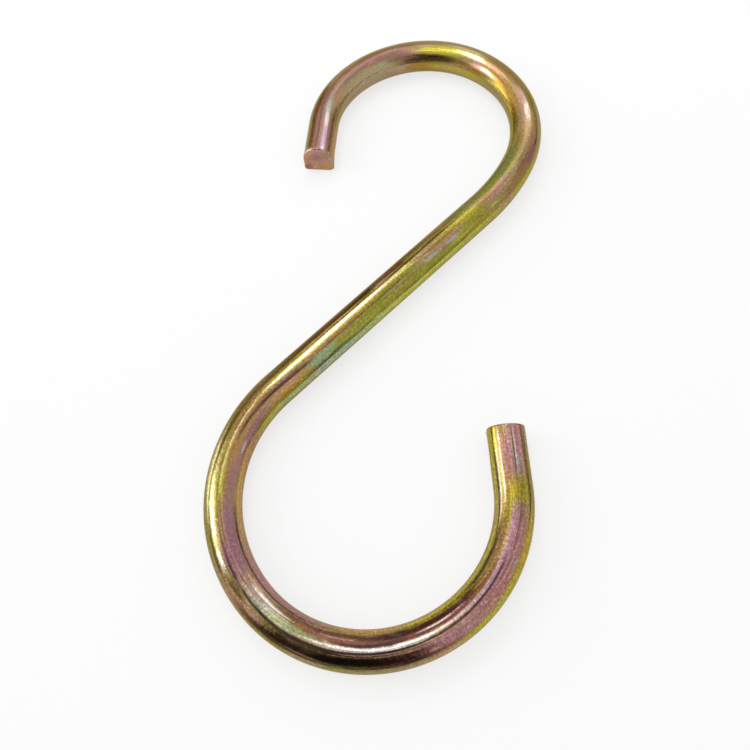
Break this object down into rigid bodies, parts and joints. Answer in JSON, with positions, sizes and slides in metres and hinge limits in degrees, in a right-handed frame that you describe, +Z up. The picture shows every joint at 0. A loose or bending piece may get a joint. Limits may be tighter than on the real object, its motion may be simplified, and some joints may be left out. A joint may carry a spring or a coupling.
{
  "type": "s hook",
  "caption": "Open S hook bent from round steel rod: two unequal round hooks facing opposite ways on a slanting straight shank, with cropped ends.",
  "frame": {"origin": "middle of the hook's outline, at floor level, under the shank", "axes": "the hook lies flat: +Z up, +Y along the line of pull from the middle of the lower, larger bend to the middle of the upper bend, +X to the right, with the upper hook open to -X and the lower hook open to +X"},
  "size_m": [0.0682, 0.1673, 0.008],
  "materials": {
    "yellow_zinc_steel": "drawn steel rod with a semi-bright yellow chromated zinc plating that shades from olive gold to mauve"
  },
  "bodies": {
    "root": {"hook": "yellow_zinc_steel"}
  },
  "joints": []
}
